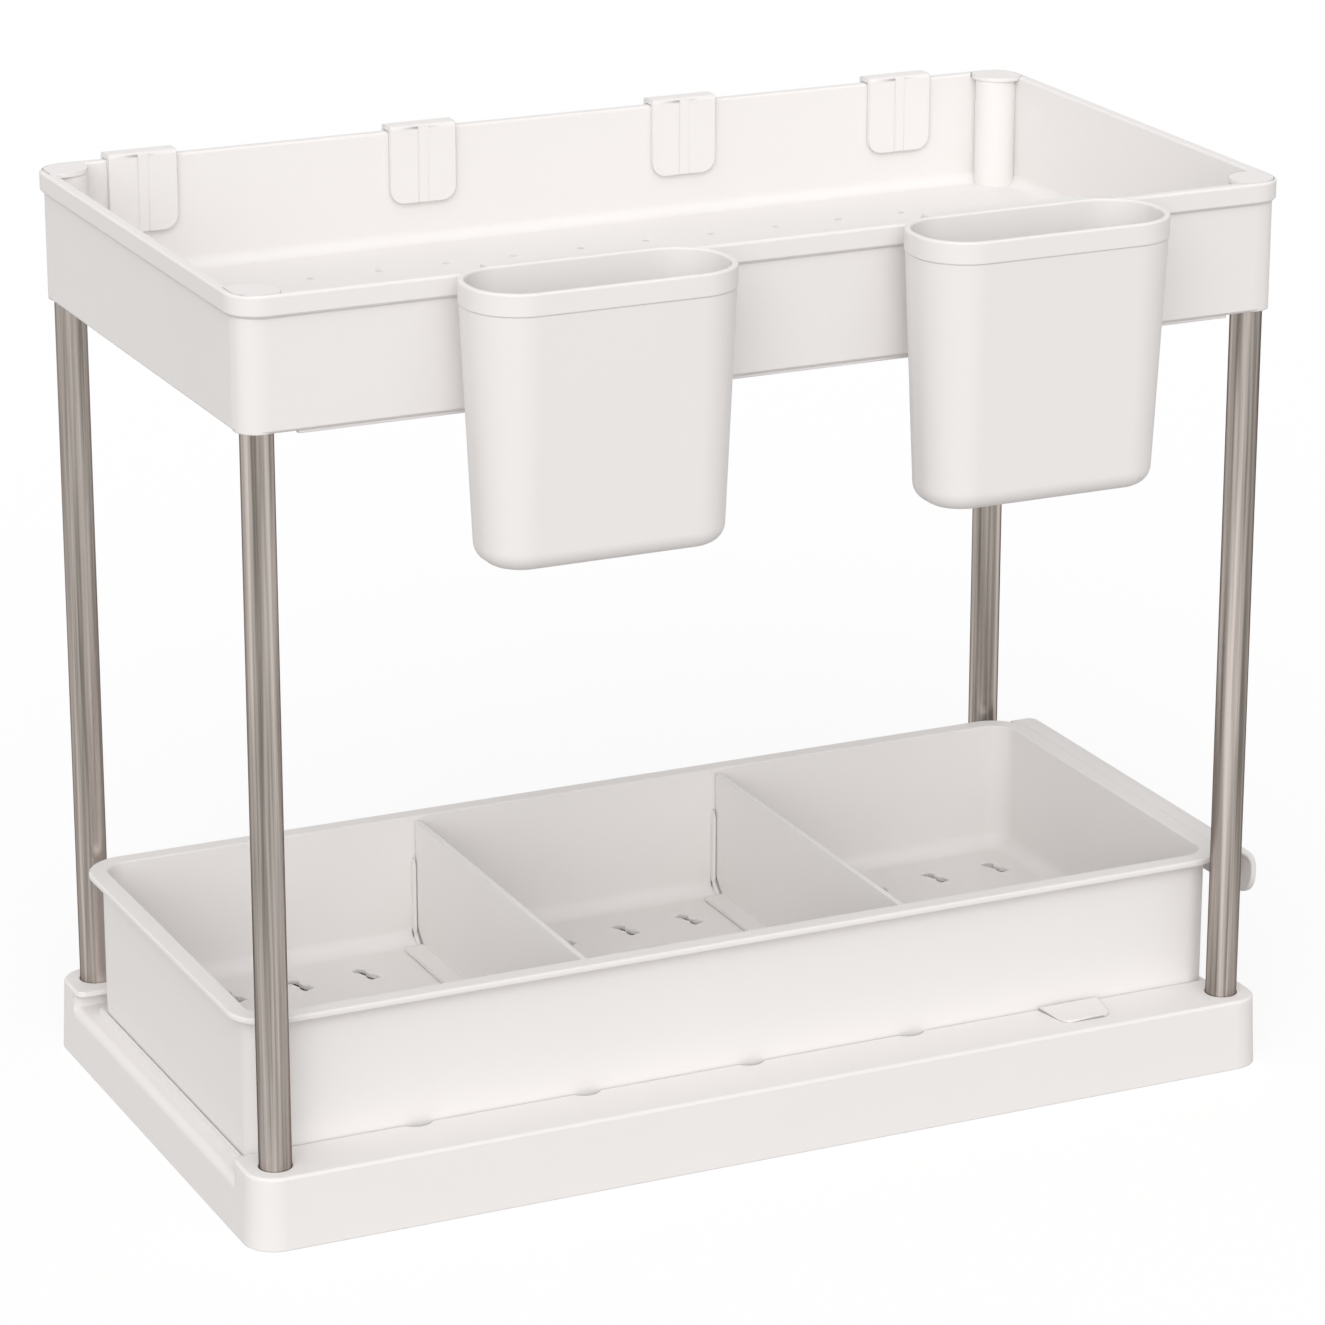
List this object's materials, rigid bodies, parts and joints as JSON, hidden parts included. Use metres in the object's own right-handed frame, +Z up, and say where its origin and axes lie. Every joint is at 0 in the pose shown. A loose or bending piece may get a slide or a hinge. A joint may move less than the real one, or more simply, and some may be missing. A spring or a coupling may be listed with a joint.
{
  "type": "under sink organizer",
  "caption": "Two-tier organizer for under a sink: a pull-out divided drawer, an open upper tray on steel posts, hanging cups and clip hooks.",
  "frame": {"origin": "on the floor, at the centre of the four posts", "axes": "+X along the long side, the way the drawer comes out; the cups hang on the -Y side and the hooks on the +Y side; +Z up"},
  "size_m": [0.454, 0.2972, 0.3744],
  "materials": {
    "white_plastic": "satin",
    "steel": "brushed"
  },
  "bodies": {
    "frame": {"base_frame": "white_plastic", "upper_tray": "white_plastic", "drawer_stop": "white_plastic", "post_front_left": "steel", "post_front_right": "steel", "post_rear_left": "steel", "post_rear_right": "steel", "cap_front_left": "white_plastic", "cap_front_right": "white_plastic", "cap_rear_left": "white_plastic", "cap_rear_right": "white_plastic"},
    "drawer": {"drawer": "white_plastic"},
    "divider_left": {"divider_left": "white_plastic"},
    "divider_right": {"divider_right": "white_plastic"},
    "cup_left": {"cup_left": "white_plastic"},
    "cup_right": {"cup_right": "white_plastic"},
    "hook_1": {"hook_1": "white_plastic"},
    "hook_2": {"hook_2": "white_plastic"},
    "hook_3": {"hook_3": "white_plastic"},
    "hook_4": {"hook_4": "white_plastic"}
  },
  "joints": [
    {"name": "drawer_slide", "type": "slide", "parent": "frame", "child": "drawer", "axis": [1, 0, 0], "range_m": [0, 0.319]},
    {"name": "divider_left_lift", "type": "slide", "parent": "drawer", "child": "divider_left", "axis": [0, 0, 1], "range_m": [0, 0.06]},
    {"name": "divider_right_lift", "type": "slide", "parent": "drawer", "child": "divider_right", "axis": [0, 0, 1], "range_m": [0, 0.06]},
    {"name": "cup_left_lift", "type": "slide", "parent": "frame", "child": "cup_left", "axis": [0, 0, 1], "range_m": [0, 0.03]},
    {"name": "cup_right_lift", "type": "slide", "parent": "frame", "child": "cup_right", "axis": [0, 0, 1], "range_m": [0, 0.03]},
    {"name": "hook_1_lift", "type": "slide", "parent": "frame", "child": "hook_1", "axis": [0, 0, 1], "range_m": [0, 0.045]},
    {"name": "hook_2_lift", "type": "slide", "parent": "frame", "child": "hook_2", "axis": [0, 0, 1], "range_m": [0, 0.045]},
    {"name": "hook_3_lift", "type": "slide", "parent": "frame", "child": "hook_3", "axis": [0, 0, 1], "range_m": [0, 0.045]},
    {"name": "hook_4_lift", "type": "slide", "parent": "frame", "child": "hook_4", "axis": [0, 0, 1], "range_m": [0, 0.045]}
  ]
}
